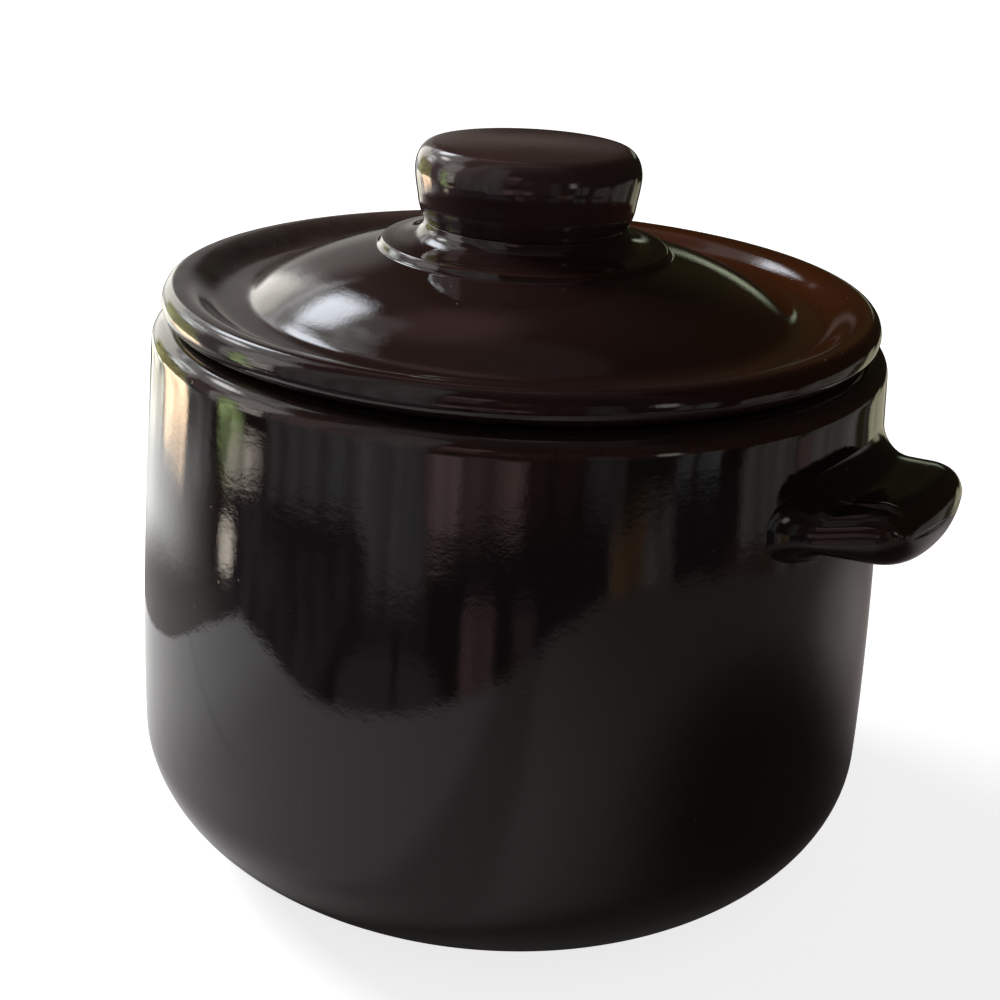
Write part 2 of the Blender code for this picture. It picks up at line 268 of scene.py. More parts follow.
def ring_quads(rows, steps):
    """The four-sided faces between closed rings of points, one ring after the other."""
    i = np.arange(rows - 1)[:, None] * steps
    j = np.arange(steps)
    k = (j + 1) % steps
    return np.stack([i + j, i + k, i + steps + k, i + steps + j], -1).reshape(-1, 4)


def turned(name, profile, steps, uneven, body, stands_for, material):
    """A profile carried round +Z: (r cos a, r sin a, z), closed by one point at each pole.

    The radius swells by uneven * (cos 2a + cos(3a + 1) / 2), as a jiggered pot does.
    """
    radius, height = profile[:, 0], profile[:, 1]
    a = np.arange(steps) * (2.0 * math.pi / steps)
    out_of_round = uneven * (np.cos(2 * a) + 0.5 * np.cos(3 * a + 1.0))
    share = np.clip(radius / ROUND_MIDDLE, 0.0, 1.0)
    rings = radius[1:-1, None] + share[1:-1, None] * out_of_round
    levels = np.repeat(height[1:-1, None], steps, 1)
    grid = np.stack([rings * np.cos(a), rings * np.sin(a), levels], -1).reshape(-1, 3)
    points = np.concatenate([[[0, 0, height[0]]], grid, [[0, 0, height[-1]]]])
    rows = len(radius) - 2
    j = np.arange(steps)
    k = (j + 1) % steps
    quads = (ring_quads(rows, steps) + 1)[:, ::-1]
    first_fan = np.stack([np.zeros(steps, int), 1 + k, 1 + j], -1)[:, ::-1]
    base = 1 + (rows - 1) * steps
    last_fan = np.stack([np.full(steps, len(points) - 1), base + j, base + k], -1)[:, ::-1]
    faces = quads.tolist() + first_fan.tolist() + last_fan.tolist()
    return mesh_piece(name, points, faces, body, stands_for, material)


def store(piece, name, values):
    """Keeps one value for each point of a piece, as an attribute that its material reads."""
    made = piece.data.attributes.new(name, "FLOAT", "POINT")
    made.data.foreach_set("value", values.astype(np.float32))


def store_on_rings(piece, name, values, steps):
    """The same for a turned piece, with a value for each ring or for each point of each ring."""
    rings = np.broadcast_to(np.reshape(values, (len(values), -1)), (len(values), steps))
    store(piece, name, np.concatenate([rings[0, :1], rings[1:-1].reshape(-1), rings[-1, :1]]))


# Finishes

def feed(tree, socket, value):
    """Links another node's output to a socket, or sets the socket to a plain value."""
    if isinstance(value, bpy.types.NodeSocket):
        tree.links.new(value, socket)
    else:
        socket.default_value = value


def node(tree, kind, **inputs):
    """Adds a node and feeds its inputs by name. _0 and _1 stand for its first and second one."""
    made = tree.nodes.new(kind)
    for key, value in inputs.items():
        socket = int(key[1:]) if key[0] == "_" else key.replace("_", " ")
        feed(tree, made.inputs[socket], value)
    return made


def maths(tree, operation, first, second=0.0, third=0.0):
    """A Math node; returns its output."""
    made = tree.nodes.new("ShaderNodeMath")
    made.operation = operation
    for socket, value in zip(made.inputs, (first, second, third)):
        feed(tree, socket, value)
    return made.outputs[0]


def ramp(tree, value, low, high):
    """A smooth step from 0 at low to 1 at high; returns its output."""
    made = node(tree, "ShaderNodeMapRange", Value=value, From_Min=low, From_Max=high)
    made.interpolation_type = "SMOOTHSTEP"
    return made.outputs["Result"]


def mixed(tree, factor, first, second, kind="RGBA"):
    """A mix of two colours, or of two plain values where kind is FLOAT; returns its output."""
    made = tree.nodes.new("ShaderNodeMix")
    made.data_type = kind
    one, two, result = {"FLOAT": (2, 3, 0), "RGBA": (6, 7, 2)}[kind]
    for socket, value in ((0, factor), (one, first), (two, second)):
        feed(tree, made.inputs[socket], value)
    return made.outputs[result]


def noise(tree, place, size, detail, rough=0.5):
    """Noise with features about this size in metres; returns its value."""
    made = node(tree, "ShaderNodeTexNoise", Vector=place, Scale=1.0 / size, Detail=detail, Roughness=rough)
    return made.outputs["Fac"]


def spots(tree, place, cell, share, radius):
    """Round spots: one in a share of the cells, with soft edges at this share of a cell."""
    made = node(tree, "ShaderNodeTexVoronoi", Vector=place, Scale=1.0 / cell)
    chosen = node(tree, "ShaderNodeSeparateColor", Color=made.outputs["Color"])
    picked = maths(tree, "LESS_THAN", chosen.outputs[0], share)
    near = ramp(tree, made.outputs["Distance"], radius, 0.35 * radius)
    return maths(tree, "MULTIPLY", picked, near)


def stored(tree, name):
    """The value that store kept on the points under this name, or 0 where there is none."""
    made = tree.nodes.new("ShaderNodeAttribute")
    made.attribute_name = name
    return made.outputs["Fac"]


def arrange(tree):
    """Sets a tree out in columns, with every node to the left of the nodes that it feeds."""
    column = {item.name: 0 for item in tree.nodes}
    settled = False
    while not settled:
        settled = True
        for link in tree.links:
            wanted = column[link.to_node.name] + 1
            if column[link.from_node.name] < wanted:
                column[link.from_node.name] = wanted
                settled = False
    filled = {}
    for item in tree.nodes:
        across = column[item.name]
        filled[across] = filled.get(across, 0) + 1
        item.location = (-200 * across, -200 * filled[across])


def new_group(name, inputs, outputs):
    """A node group with these sockets; returns it, what it is given and what it puts out."""
    group = bpy.data.node_groups.new(name, "ShaderNodeTree")
    for way, sockets in (("INPUT", inputs), ("OUTPUT", outputs)):
        for label, kind in sockets:
            group.interface.new_socket(name=label, in_out=way, socket_type="NodeSocket" + kind)
    given = group.nodes.new("NodeGroupInput").outputs if inputs else None
    return group, given, group.nodes.new("NodeGroupOutput").inputs


def glaze_group():
    """Fired gloss glaze: thin and thick places, flow, orange peel, pinholes, specks and smears."""
    inputs = (
        ("Deep", "Color"), ("Thin", "Color"), ("Thinness", "Float"), ("Warmth", "Float"), ("Sheen Film", "Float"),
        ("Dust", "Float"), ("Gloss", "Float"), ("Peel", "Float"), ("Turning", "Float"),
    )
    group, given, result = new_group("fired_glaze", inputs, SURFACE_OUTPUTS)
    place = node(group, "ShaderNodeTexCoord").outputs["Object"]

    # Colour: the glaze pools dark and breaks warm where it runs thin over an edge.
    cloud = ramp(group, noise(group, place, size=55 * MM, detail=3.0), 0.38, 0.68)
    flecks = noise(group, place, size=1.6 * MM, detail=4.0, rough=0.7)
    worn = maths(group, "MULTIPLY_ADD", flecks, 0.5, -0.25)
    edge = maths(group, "ADD", given["Thinness"], worn)
    edge = maths(group, "MULTIPLY", edge, ramp(group, given["Thinness"], 0.02, 0.25))
    warm = maths(group, "MULTIPLY_ADD", cloud, 0.3, 0.7)
    warm = maths(group, "MULTIPLY", warm, given["Warmth"])
    thin = maths(group, "MAXIMUM", edge, warm)
    colour = mixed(group, thin, given["Deep"], given["Thin"])

    # Pinholes where gas left the glaze, and pale crumbs of kiln dust caught in it.
    pinholes = spots(group, place, cell=6.0 * MM, share=0.22, radius=0.065)
    crumbs = spots(group, place, cell=2.6 * MM, share=0.05, radius=0.07)
    crumbs = maths(group, "MULTIPLY", crumbs, given["Dust"])
    pit_brown = (0.05, 0.03, 0.02, 1.0)
    crumb_grey = (0.42, 0.39, 0.34, 1.0)
    colour = mixed(group, maths(group, "MULTIPLY", pinholes, 0.7), colour, pit_brown)
    colour = mixed(group, crumbs, colour, crumb_grey)

    # A grey layer that lightens the glaze and dulls its gloss: a painted sheen.
    painted_sheen_grey = (0.21, 0.21, 0.2, 1.0)
    wiped = ramp(group, noise(group, place, size=9 * MM, detail=4.0, rough=0.6), 0.25, 0.65)
    sheen_film = maths(group, "MULTIPLY_ADD", wiped, 0.6, 0.4)
    sheen_film = maths(group, "MULTIPLY", sheen_film, given["Sheen Film"])
    colour = mixed(group, sheen_film, colour, painted_sheen_grey)

    # Gloss: fingers and cloths leave faint duller smears.
    smear = ramp(group, noise(group, place, size=38 * MM, detail=5.0, rough=0.6), 0.45, 0.75)
    rough = maths(group, "MULTIPLY_ADD", smear, 0.05, given["Gloss"])
    rough = maths(group, "MULTIPLY_ADD", maths(group, "ADD", pinholes, crumbs), 0.4, rough)
    rough = maths(group, "MULTIPLY_ADD", sheen_film, 0.9, rough)

    # Height in millimetres: slow flow waves, orange peel, pits and crumbs.
    flow = maths(group, "MULTIPLY", noise(group, place, size=16 * MM, detail=1.0), 0.05)
    peel = noise(group, place, size=2.4 * MM, detail=5.0, rough=0.66)
    peel = maths(group, "MULTIPLY", maths(group, "MULTIPLY", peel, 0.02), given["Peel"])
    level = maths(group, "ADD", flow, peel)

    # Lines left by the turning tool: noise drawn out along the circle round the axis.
    x, y, z = node(group, "ShaderNodeSeparateXYZ", Vector=place).outputs
    radius = maths(group, "MULTIPLY_ADD", x, x, maths(group, "MULTIPLY", y, y))
    radius = maths(group, "SQRT", radius)
    across = maths(group, "MULTIPLY_ADD", z, 0.7, radius)
    round_x = maths(group, "MULTIPLY", maths(group, "DIVIDE", x, radius), 4 * MM)
    round_y = maths(group, "MULTIPLY", maths(group, "DIVIDE", y, radius), 4 * MM)
    ring_place = node(group, "ShaderNodeCombineXYZ", X=across, Y=round_x, Z=round_y).outputs[0]
    rings = noise(group, ring_place, size=1.5 * MM, detail=3.0, rough=0.6)
    rings = maths(group, "MULTIPLY", maths(group, "MULTIPLY", rings, 0.03), given["Turning"])
    level = maths(group, "ADD", level, rings)
    level = maths(group, "MULTIPLY_ADD", pinholes, -0.1, level)
    level = maths(group, "MULTIPLY_ADD", crumbs, 0.12, level)

    feed(group, result["Color"], colour)
    feed(group, result["Roughness"], rough)
    feed(group, result["Height"], level)
    arrange(group)
    return group


def clay_group():
    """Bare fired stoneware: buff body with iron specks and a sandy, dry surface."""
    group, _, result = new_group("bare_stoneware", (), SURFACE_OUTPUTS)
    place = node(group, "ShaderNodeTexCoord").outputs["Object"]
    dark_buff = (0.33, 0.21, 0.12, 1.0)
    pale_buff = (0.52, 0.38, 0.24, 1.0)
    iron_brown = (0.07, 0.035, 0.02, 1.0)
    body = noise(group, place, size=6 * MM, detail=5.0, rough=0.65)
    colour = mixed(group, body, dark_buff, pale_buff)
    iron = spots(group, place, cell=1.4 * MM, share=0.2, radius=0.16)
    colour = mixed(group, iron, colour, iron_brown)
    grit = noise(group, place, size=0.5 * MM, detail=3.0, rough=0.7)
    feed(group, result["Color"], colour)
    feed(group, result["Roughness"], maths(group, "MULTIPLY_ADD", grit, 0.2, 0.7))
    feed(group, result["Height"], maths(group, "MULTIPLY", grit, 0.08))
    arrange(group)
    return group


def glaze_material(name, groups, warmth, **values):
    """One glaze over stoneware: gloss where it is glazed, dry clay where it is wiped off.

    The values are named after the inputs of the glaze group.
    """
    made = bpy.data.materials.new(name)
    made.use_nodes = True
    tree = made.node_tree
    shader = tree.nodes["Principled BSDF"]
    shader.inputs["IOR"].default_value = GLAZE_IOR
    glaze = tree.nodes.new("ShaderNodeGroup")
    glaze.node_tree = groups[0]
    clay = tree.nodes.new("ShaderNodeGroup")
    clay.node_tree = groups[1]
    feed(tree, glaze.inputs["Thinness"], stored(tree, "thinness"))
    feed(tree, glaze.inputs["Warmth"], maths(tree, "MULTIPLY_ADD", stored(tree, "browned"), 0.95, warmth))
    # A painted sheen: a grey layer on the side towards the window light.
    feed(tree, glaze.inputs["Sheen Film"], maths(tree, "MULTIPLY", stored(tree, "sheen_film"), 0.16))
    for key, value in values.items():
        feed(tree, glaze.inputs[key], value)
    # The line between glaze and clay wanders a little.
    place = node(tree, "ShaderNodeTexCoord").outputs["Object"]
    wander = noise(tree, place, size=5 * MM, detail=3.0)
    line = maths(tree, "MULTIPLY_ADD", wander, 0.5, stored(tree, "bare"))
    dry = ramp(tree, line, 0.72, 0.78)
    colour, rough, level = (
        mixed(tree, dry, glaze.outputs[key], clay.outputs[key], kind)
        for key, kind in (("Color", "RGBA"), ("Roughness", "FLOAT"), ("Height", "FLOAT"))
    )
    bump = node(tree, "ShaderNodeBump", Strength=1.0, Distance=MM, Height=level)
    feed(tree, shader.inputs["Base Color"], colour)
    feed(tree, shader.inputs["Roughness"], rough)
    feed(tree, shader.inputs["Normal"], bump.outputs["Normal"])
    arrange(tree)
    return made


# The pot

def smooth(value, low, high):
    """Smooth step: 3t^2 - 2t^3, with t running from 0 at low to 1 at high."""
    t = np.clip((value - low) / (high - low), 0.0, 1.0)
    return t * t * (3.0 - 2.0 * t)


def thinness_of(bend, low, high):
    """How thin the glaze lies: 0 on a flat place, 1 on a sharp outward edge."""
    return np.clip((bend * MM - low) / (high - low), 0.0, 1.0)


def crock(material):
    """The jiggered body: rounded floor inside, rolled rim, drawn-in wall, heel and foot ring."""
    floor = FOOT_RECESS + FLOOR_THICKNESS
    inner = FOOT_RADIUS - FOOT_WIDTH
    mouth = (MOUTH_RADIUS + MOUTH_EDGE, CROCK_HEIGHT - MOUTH_EDGE)
    parts = [
        (0.0, floor),
        heel((inner, floor), (BELLY_RADIUS - WALL_THICKNESS, HEEL_HEIGHT))[::-1],
        wall(RIM_ROLL_FOOT - RIM_BEAD, HEEL_HEIGHT, WALL_THICKNESS)[::-1],
        (MOUTH_RADIUS, RIM_ROLL_FOOT),
        arc(mouth, MOUTH_EDGE, MOUTH_EDGE, 180.0, 90.0),
        arc((NECK_RADIUS - RIM_ROLL_WIDTH, RIM_ROLL_FOOT), RIM_ROLL_WIDTH, RIM_ROLL_HEIGHT, 90.0, 0.0),
        wall(RIM_ROLL_FOOT, HEEL_HEIGHT, 0.0),
        heel((FOOT_RADIUS, FOOT_EDGE), (BELLY_RADIUS, HEEL_HEIGHT)),
        arc((FOOT_RADIUS - FOOT_EDGE, FOOT_EDGE), FOOT_EDGE, FOOT_EDGE, 0.0, -90.0),
        arc((inner + FOOT_EDGE, FOOT_EDGE), FOOT_EDGE, FOOT_EDGE, -90.0, -180.0),
        (inner - FOOT_RECESS, FOOT_RECESS),
        (0.0, FOOT_RECESS),
    ]
    profile, bend = glazed_profile(parts, soften=0.45 * MM, travel=3.0 * MM, turn=0.16)
    piece = turned("crock_body_glazed", profile, TURN_STEPS, CROCK_UNEVENNESS, "crock_body",
                   "crock", material)
    store_on_rings(piece, "thinness", 0.5 * thinness_of(bend, 0.08, 0.4), TURN_STEPS)
    # The foot ring is wiped bare, a little way past its sides and up from the table.
    half, past_side, up_to = 0.5 * FOOT_WIDTH, 1.2 * MM, 2.2 * MM
    beside = np.abs(profile[:, 0] - (inner + half)) / (half + past_side)
    low = np.clip(1.0 - profile[:, 1] / up_to, 0.0, 1.0)
    store_on_rings(piece, "bare", np.clip(1.6 - beside, 0.0, 1.0) * low, TURN_STEPS)


def lid_top():
    """Curves of the lid from its neck out to its crest: collar, dome, gutter and brim."""
    flare = COLLAR_RADIUS - COLLAR_ROUND - NECK_WAIST_RADIUS
    collar = (COLLAR_RADIUS - COLLAR_ROUND, COLLAR_LEVEL - COLLAR_ROUND)
    start = np.array((COLLAR_RADIUS + COLLAR_CREASE, DOME_TOP_LEVEL))
    foot = np.array((DOME_FOOT_RADIUS, DOME_FOOT_LEVEL))
    span = foot[0] - start[0]
    high = start + (DOME_HIGH_PULL[0] * span, -DOME_HIGH_PULL[1] * DOME_RISE)
    low = foot + (-DOME_LOW_PULL[0] * span, DOME_LOW_PULL[1] * DOME_RISE)
    bottom = (GUTTER_RADIUS, GUTTER_LEVEL)
    crest = (BRIM_RADIUS, LID_CREST_LEVEL)
    return [
        (0.0, NECK_LEVEL),
        arc((NECK_WAIST_RADIUS + flare, NECK_LEVEL), flare, NECK_LEVEL - COLLAR_LEVEL, 180.0, 270.0),
        arc(collar, COLLAR_ROUND, COLLAR_ROUND, 90.0, 0.0),
        bezier(start, high, low, foot),
        bezier(foot, (foot[0] + GUTTER_PULL, bottom[1]), (bottom[0] - GUTTER_PULL, bottom[1]), bottom),
        bezier(bottom, (bottom[0] + BRIM_PULL, bottom[1]), (crest[0] - BRIM_PULL, crest[1]), crest),
    ]


def lid_under():
    """Curves of the lid from its rolled edge in to the middle of its hollow."""
    outer = MOUTH_RADIUS - RING_CLEARANCE
    inner = outer - RING_THICKNESS
    level = LID_SEAT - RING_DEPTH + RING_ROUND
    edge = (inner, GUTTER_LEVEL - LID_THICKNESS)
    top = (0.0, DOME_TOP_LEVEL - HOLLOW_TOP_THICKNESS)
    tuck = (LID_RADIUS - LID_EDGE_TUCK, LID_EDGE_LEVEL)
    return [
        arc((BRIM_RADIUS, LID_EDGE_LEVEL), LID_EDGE_ROUND, LID_CREST_LEVEL - LID_EDGE_LEVEL, 90.0, 0.0),
        arc(tuck, LID_EDGE_TUCK, LID_EDGE_LEVEL - LID_SEAT, 0.0, -90.0),
        (outer, LID_SEAT),
        arc((outer - RING_ROUND, level), RING_ROUND, RING_ROUND, 0.0, -90.0),
        arc((inner + RING_ROUND, level), RING_ROUND, RING_ROUND, -90.0, -180.0),
        edge,
        bezier(edge, (inner - HOLLOW_PULL, edge[1]), (0.5 * inner, top[1]), top),
    ]


def lid(material):
    """The lid: neck, stepped collar, low dome, gutter, brim and rolled edge, ring and hollow."""
    profile, bend = glazed_profile(lid_top() + lid_under(), soften=0.35 * MM, travel=2.5 * MM, turn=0.17)
    piece = turned("lid_glazed", profile, TURN_STEPS, LID_UNEVENNESS, "lid_body",
                   "lid", material)
    store_on_rings(piece, "thinness", 0.3 * thinness_of(bend, 0.2, 0.9), TURN_STEPS)
    # The kiln's flame browned one side. On the side across from it, which faces the window light, a grey
    # layer is a painted sheen.
    a = np.arange(TURN_STEPS) * (2.0 * math.pi / TURN_STEPS) - CAMERA_TURN
    warm_side = smooth(np.cos(a - math.radians(50.0)), -0.75, 0.8)
    sheen_side = smooth(np.cos(a - math.radians(155.0)), 0.0, 0.9)
    upper = (profile[:, 1] > LID_SEAT + 1.0 * MM)[:, None]
    outward = smooth(profile[:, 0], 25 * MM, 72 * MM)[:, None]
    store_on_rings(piece, "browned", upper * (0.04 + 0.96 * outward**2) * warm_side, TURN_STEPS)
    store_on_rings(piece, "sheen_film", upper * outward * sheen_side, TURN_STEPS)
    # The seat is wiped bare, so that the lid doesn't stick to the rim in the kiln.
    middle, half, near = MOUTH_RADIUS + 1.2 * MM, 2.0 * MM, 0.6 * MM
    beside = np.abs(profile[:, 0] - middle) / half
    on_seat = (np.abs(profile[:, 1] - LID_SEAT) < near) * 1.0
    store_on_rings(piece, "bare", np.clip(1.5 - beside, 0.0, 1.0) * on_seat, TURN_STEPS)


def knob(material):
    """The knob: a thick disc with a rounded top edge, a crease line and a tapered lower third."""
    flat = KNOB_RADIUS - KNOB_EDGE_WIDTH
    crown = KNOB_TOP + KNOB_CROWN
    widest = (KNOB_RADIUS, KNOB_TOP - KNOB_EDGE_HEIGHT)
    crease = (KNOB_RADIUS - KNOB_CREASE_DRAW, KNOB_BASE + KNOB_CREASE_HEIGHT)
    # The glaze bridges the joint with the neck, so the foot reaches a hair into it.
    foot = NECK_LEVEL - 0.1 * MM
    waist = (NECK_WAIST_RADIUS, foot)
    parts = [
        bezier((0.0, crown), (0.5 * flat, crown), (flat, KNOB_TOP), (flat, KNOB_TOP)),
        arc((flat, widest[1]), KNOB_EDGE_WIDTH, KNOB_EDGE_HEIGHT, 90.0, 0.0),
        bezier(widest, (widest[0], widest[1] - KNOB_CREASE_PULL), crease, crease),
        bezier(crease, (crease[0], crease[1] - KNOB_CREASE_PULL), waist, waist),
        (0.0, foot),
    ]
    profile, bend = glazed_profile(parts, soften=0.3 * MM, travel=1.6 * MM, turn=0.13)
    piece = turned("knob_glazed", profile, KNOB_STEPS, KNOB_UNEVENNESS, "lid_body",
                   "lid_knob", material)
    store_on_rings(piece, "thinness", 0.35 * thinness_of(bend, 0.15, 0.7), KNOB_STEPS)


def round_over(radius, distance):
    """How far a quarter round has drawn in at this distance from its end."""
    gone = np.clip(radius - distance, 0.0, radius)
    return radius - np.sqrt(np.maximum(radius**2 - gone**2, 0.0))


def tab_rings(reach):
    """How far out from the wall each ring of a tab lies: close together at the root and the tip."""
    nose = 0.5 * LUG_TIP_THICKNESS
    swing = np.linspace(0.0, 1.0, 36)
    close = np.linspace(0.0, 0.5 * math.pi, 30)[1:-1]
    return np.concatenate([
        -LUG_SINK + (LUG_FILLET_END + LUG_SINK) * swing**2.2,
        np.linspace(LUG_FILLET_END, reach - nose, 10)[1:],
        reach - nose + nose * np.sin(close),
    ])[:, None]


def ridges(outs, across):
    """Two fine ridges on a tab's top, where the glaze ran outwards and met again near the tip.

    Each is height * exp(-(distance from its line / width)^2), and their lines draw together.
    """
    spread = RIDGE_SPREAD * np.sqrt(np.clip((RIDGE_MEETING - outs) / RIDGE_CLOSING, 0.0, 1.0))
    ends = smooth(outs, 2.5 * MM, 6.0 * MM) * (1.0 - smooth(outs, 16.5 * MM, 18.5 * MM))
    behind = RIDGE_BEHIND * np.exp(-((across - RIDGE_PLACE - spread) / RIDGE_WIDTH) ** 2)
    ahead = RIDGE_AHEAD * np.exp(-((across - RIDGE_PLACE + spread) / RIDGE_WIDTH) ** 2)
    return (behind + ahead) * ends


def tab(name, side, reach, stands_for, material):
    """A pressed tab whose glaze runs out over the wall.

    Along the reach v and round the section u, a point lies at (wall + out + v^2 (tip - wall),
    across, height). The section is nearly flat on top, with squared shoulders, and round
    underneath. Its width and thickness change evenly with v, a quarter round widens them
    towards the wall, and another closes them at the tip.
    """
    outs = tab_rings(reach)
    turns = np.arange(LUG_STEPS) * (2.0 * math.pi / LUG_STEPS)
    along = outs / reach
    v = np.clip(along, 0.0, 1.0)
    up_share = np.sin(turns)[None, :]
    upper = up_share > 0
    fillet = 0.5 * (LUG_FILLET_ABOVE + LUG_FILLET_BELOW + (LUG_FILLET_ABOVE - LUG_FILLET_BELOW) * up_share)
    flare = round_over(fillet, np.maximum(outs, 0.0))
    nose = 0.5 * LUG_TIP_THICKNESS
    half_width = 0.5 * (LUG_ROOT_WIDTH + (LUG_TIP_WIDTH - LUG_ROOT_WIDTH) * along)
    half_width = half_width - round_over(LUG_CORNER, reach - outs)
    half_thick = 0.5 * (LUG_ROOT_THICKNESS + (LUG_TIP_THICKNESS - LUG_ROOT_THICKNESS) * along)
    half_thick = half_thick * (1.0 - round_over(nose, reach - outs) / nose)
    slot_end = np.minimum(half_thick, half_width)
    side_way = np.sign(np.cos(turns)) * np.abs(np.cos(turns)) ** LUG_SIDE_FLATNESS
    across = (half_width - slot_end) * side_way + (slot_end + flare) * np.cos(turns)
    swell = np.sign(up_share) * np.abs(up_share) ** np.where(upper, LUG_TOP_FLATNESS, 1.0)
    depth = np.where(upper, 1.0, LUG_ROOT_DEPTH + (LUG_TIP_DEPTH - LUG_ROOT_DEPTH) * v)
    up = (half_thick * depth + flare) * swell
    hollow = LUG_DISH * np.clip(1.0 - (across / np.maximum(half_width, MM)) ** 2, 0.0, 1.0)
    up = up - hollow * np.sin(math.pi * v) * np.clip(up_share * 3.0, 0.0, 1.0)
    up = up + ridges(outs, across) * upper
    z = LUG_HEIGHT + LUG_RISE * along + up
    wall_face = np.sqrt(wall_radius(z) ** 2 - across**2)
    tip_face = wall_radius(np.array(LUG_HEIGHT)) - LUG_BOW * (2.0 * across / LUG_TIP_WIDTH) ** 2
    x = wall_face + outs + v**2 * (tip_face - wall_face)
    grid = np.stack([side * x, side * across, z], -1)
    rows, steps = grid.shape[:2]
    centre = grid[-1].mean(0)
    centre[0] = side * (np.abs(grid[-1, :, 0]).max() + 0.02 * MM)
    points = np.concatenate([grid.reshape(-1, 3), grid[0].mean(0)[None], centre[None]])
    j = np.arange(steps)
    k = (j + 1) % steps
    last = (rows - 1) * steps
    root = np.stack([np.full(steps, rows * steps), k, j], -1)
    tip = np.stack([np.full(steps, rows * steps + 1), last + j, last + k], -1)
    faces = ring_quads(rows, steps).tolist() + root.tolist() + tip.tolist()
    piece = mesh_piece(name, points, faces, "crock_body", stands_for, material)
    # The glaze is thinnest where the top turns over into the tip.
    from_tip, fade = 1.5 * MM, 5.0 * MM
    thin = np.clip(1.0 - np.abs(reach - outs - from_tip) / fade, 0.0, 1.0)
    thin = np.repeat(0.35 * thin, steps, 1).reshape(-1)
    store(piece, "thinness", np.r_[thin, 0.0, 0.3])


def build_pot():
    """Makes the four glazes and the five pieces."""
    groups = (glaze_group(), clay_group())
    body = glaze_material(
        "black_brown_glaze", groups, warmth=0.04, Deep=(0.0085, 0.006, 0.0055, 1.0),
        Thin=(0.1, 0.04, 0.027, 1.0), Dust=0.35, Gloss=0.035, Peel=1.0, Turning=0.1)
    tabs = glaze_material(
        "tab_glaze", groups, warmth=0.04, Deep=(0.0075, 0.006, 0.0045, 1.0),
        Thin=(0.05, 0.018, 0.009, 1.0), Dust=0.3, Gloss=0.08, Peel=0.8, Turning=0.0)
    top = glaze_material(
        "red_brown_glaze", groups, warmth=0.02, Deep=(0.019, 0.0088, 0.0078, 1.0),
        Thin=(0.045, 0.011, 0.0014, 1.0), Dust=0.9, Gloss=0.035, Peel=1.2, Turning=0.6)
    grip = glaze_material(
        "knob_glaze", groups, warmth=0.06, Deep=(0.042, 0.023, 0.022, 1.0),
        Thin=(0.09, 0.036, 0.02, 1.0), Dust=0.4, Gloss=0.1, Peel=0.7, Turning=0.15)
    crock(body)
    tab("tab_right_glazed", 1.0, LUG_REACH, "lug_handle_right", tabs)
    # Pressed on by hand, so its twin sits a little deeper.
    tab("tab_left_glazed", -1.0, LUG_REACH - LEFT_LUG_SET_BACK, "lug_handle_left", tabs)
    lid(top)
    knob(grip)


# Stage, light and camera

def from_camera_side(azimuth, elevation, distance):
    """A place seen from the pot: 0 degrees is towards the camera, positive is to its right."""
    a, e = math.radians(azimuth) + CAMERA_TURN, math.radians(elevation)
    way = Vector((math.sin(a) * math.cos(e), -math.cos(a) * math.cos(e), math.sin(e)))
    return POT_MIDDLE + way * distance


def soft_lamp(name, azimuth, elevation, distance, size, power, colour):
    """An area lamp that faces the pot and lights it without showing in reflections."""
    data = bpy.data.lights.new(name, "AREA")
    data.shape = "DISK"
    data.size = size
    data.energy = power
    data.color = colour
    lamp = bpy.data.objects.new(name, data)
    bpy.context.scene.collection.objects.link(lamp)
    lamp.location = from_camera_side(azimuth, elevation, distance)
    lamp.rotation_euler = (lamp.location - POT_MIDDLE).to_track_quat("Z", "Y").to_euler()
    lamp.visible_glossy = False
    lamp.visible_camera = False


def sheet(name, corners, material):
    """A flat sheet with these corners, given as seen from the camera: x right, y away, z up."""
    turn = Matrix.Rotation(CAMERA_TURN, 3, "Z")
    points = [turn @ Vector(corner) for corner in corners]
    mesh = bpy.data.meshes.new(name)
    mesh.from_pydata(points, [], [tuple(range(len(points)))])
    mesh.materials.append(material)
    made = bpy.data.objects.new(name, mesh)
    bpy.context.scene.collection.objects.link(made)
    return made


def seen_from_camera(tree, kind):
    """A texture coordinate turned like the corners of a sheet: x right, y away, z up."""
    place = node(tree, "ShaderNodeTexCoord").outputs[kind]
    way = node(tree, "ShaderNodeVectorRotate", Vector=place, Angle=-CAMERA_TURN)
    way.rotation_type = "Z_AXIS"
    return way.outputs[0]


def empty_material(name):
    """A material without nodes; returns it and its node tree."""
    made = bpy.data.materials.new(name)
    made.use_nodes = True
    made.node_tree.nodes.clear()
    return made, made.node_tree


def add_glow(tree, base, colour, strength):
    """Adds light of a colour to a shader, and puts the sum out as the surface."""
    glow = node(tree, "ShaderNodeEmission", Color=colour, Strength=strength)
    both = node(tree, "ShaderNodeAddShader", _0=base.outputs[0], _1=glow.outputs[0])
    node(tree, "ShaderNodeOutputMaterial", Surface=both.outputs[0])
    arrange(tree)


def lay_floor():
    """A white floor for the camera. It glows more further out, so that it meets the white behind."""
    white, tree = empty_material("white_floor")
    far = node(tree, "ShaderNodeVectorMath", _0=node(tree, "ShaderNodeTexCoord").outputs["Object"])
    far.operation = "LENGTH"
    lift = maths(tree, "MULTIPLY_ADD", ramp(tree, far.outputs["Value"], 0.2, 0.6), 0.2, 0.8)
    plain = node(tree, "ShaderNodeBsdfDiffuse", Color=(0.5, 0.5, 0.5, 1.0))
    add_glow(tree, plain, (1.0, 1.0, 1.0, 1.0), lift)
    left, right, near, far_end = -3.0, 3.0, -1.5, 4.0
    corners = ((left, near, 0.0), (right, near, 0.0), (right, far_end, 0.0), (left, far_end, 0.0))
    floor = sheet("floor", corners, white)
    floor.visible_glossy = False
    floor.visible_diffuse = False
    floor.visible_shadow = False


